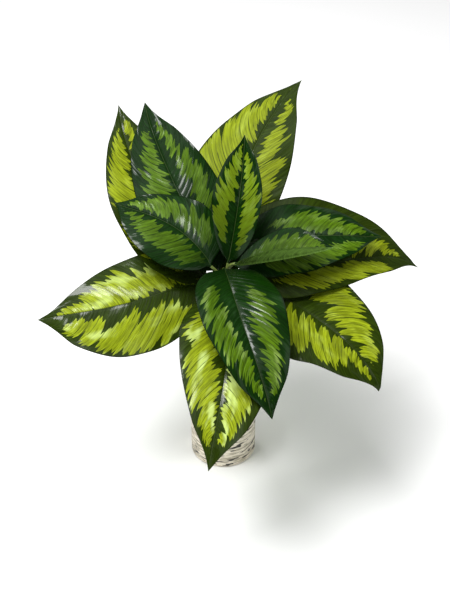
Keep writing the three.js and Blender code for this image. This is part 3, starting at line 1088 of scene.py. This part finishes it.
class CALATHEA_OT_soil(bpy.types.Operator):
    """Fills the pot with crumbly soil."""

    bl_idname = "calathea.soil"
    bl_label = "Soil"

    def execute(self, context):
        settings = context.scene.calathea.soil
        radius = settings.radius / MM
        bottom = settings.bottom / MM
        chamfer = settings.chamfer / MM
        top = settings.top / MM
        dome = settings.dome / MM
        profile = [(0, bottom), (radius - chamfer, bottom), (radius, bottom + chamfer)]
        profile += span((radius, bottom + chamfer), (radius, top), 10)
        for i in range(41):
            share = 1 - i / 40
            profile.append((radius * share, top + dome * (1 - share**2)))
        bm = bmesh.new()
        turn_profile(bm, profile, SOIL_STEPS)
        for vert in bm.verts:
            if vert.co.z > (top - 1) * MM:
                edge = smooth((radius * MM - math.hypot(vert.co.x, vert.co.y)) / 0.002)
                lumps = noise.noise(vert.co * 160) * 0.0018 + noise.noise(vert.co * 420) * 0.0008
                vert.co.z += lumps * edge
        for i in range(settings.crumbs):
            self.drop_crumb(bm, i, radius * MM, top * MM, dome * MM)
        bmesh.ops.recalc_face_normals(bm, faces=bm.faces)
        settle("soil_body", bm, [soil_matter(settings)], "potting_soil", "soil")
        return {"FINISHED"}

    def drop_crumb(self, bm, number, radius, top, dome):
        """Adds one lumpy crumb, half sunk in the soil."""
        angle = pick(number) * TAU
        share = 0.97 * math.sqrt(pick(number + 500))
        size = (0.7 + 1.7 * pick(number + 900) ** 2) * MM
        reach = min(share * radius, radius - size)
        place = Vector((math.cos(angle) * reach, math.sin(angle) * reach, top + dome * (1 - share**2)))
        spin = Matrix.Rotation(pick(number + 77) * TAU, 4, (0.4, 0.7, 0.6))
        shape = Matrix.Diagonal((1, 0.6 + 0.4 * pick(number + 31), 0.5 + 0.4 * pick(number + 13), 1))
        made = bmesh.ops.create_icosphere(
            bm, subdivisions=1, radius=size, matrix=Matrix.Translation(place) @ spin @ shape
        )
        for vert in made["verts"]:
            vert.co += noise.noise_vector(vert.co * 900) * size * 0.3


class CALATHEA_OT_lower_leaves(bpy.types.Operator):
    """Grows the six broad lower leaves with their pale bands."""

    bl_idname = "calathea.lower_leaves"
    bl_label = "Lower leaves"

    def execute(self, context):
        settings = context.scene.calathea.leaf
        materials = [
            blade_face(
                "leaf_pale_face",
                settings.pale_ground,
                settings.pale_band,
                lobes=0.4,
                notch=0.34,
                gloss=0.6,
                painted_crown_shade=0.2,
            ),
            blade_back("leaf_pale_back", settings.underside),
            stalk_skin("leaf_pale_stalk", settings.stalk),
        ]
        build_whorl(context, "lower", "leaf_pale", materials)
        return {"FINISHED"}


class CALATHEA_OT_upper_leaves(bpy.types.Operator):
    """Grows the six darker upper leaves, the folded young one among them."""

    bl_idname = "calathea.upper_leaves"
    bl_label = "Upper leaves"

    def execute(self, context):
        settings = context.scene.calathea.leaf
        materials = [
            blade_face(
                "leaf_dark_face",
                settings.deep_ground,
                settings.deep_band,
                lobes=0.9,
                notch=0.3,
                gloss=0.7,
                painted_crown_shade=0.8,
            ),
            blade_back("leaf_dark_back", settings.underside),
            stalk_skin("leaf_dark_stalk", settings.stalk),
        ]
        build_whorl(context, "upper", "leaf_dark", materials)
        return {"FINISHED"}


class CALATHEA_PT_panel(bpy.types.Panel):
    """Lists the steps that build the plant."""

    bl_idname = "CALATHEA_PT_panel"
    bl_label = "Potted calathea"
    bl_space_type = "VIEW_3D"
    bl_region_type = "UI"
    bl_category = "Calathea"

    def draw(self, context):
        for step in STEPS:
            self.layout.operator(step.bl_idname)


STEPS = (
    CALATHEA_OT_camera,
    CALATHEA_OT_stage,
    CALATHEA_OT_pot,
    CALATHEA_OT_soil,
    CALATHEA_OT_lower_leaves,
    CALATHEA_OT_upper_leaves,
)
CLASSES = (
    StageSettings,
    PotSettings,
    SoilSettings,
    LeafSettings,
    CalatheaSettings,
    *STEPS,
    CALATHEA_PT_panel,
)


def register():
    for each in CLASSES:
        bpy.utils.register_class(each)
    bpy.types.Scene.calathea = PointerProperty(type=CalatheaSettings)


def unregister():
    del bpy.types.Scene.calathea
    for each in reversed(CLASSES):
        bpy.utils.unregister_class(each)


def main():
    register()
    for step in STEPS:
        group, action = step.bl_idname.split(".")
        getattr(getattr(bpy.ops, group), action)()


if __name__ == "__main__":
    main()
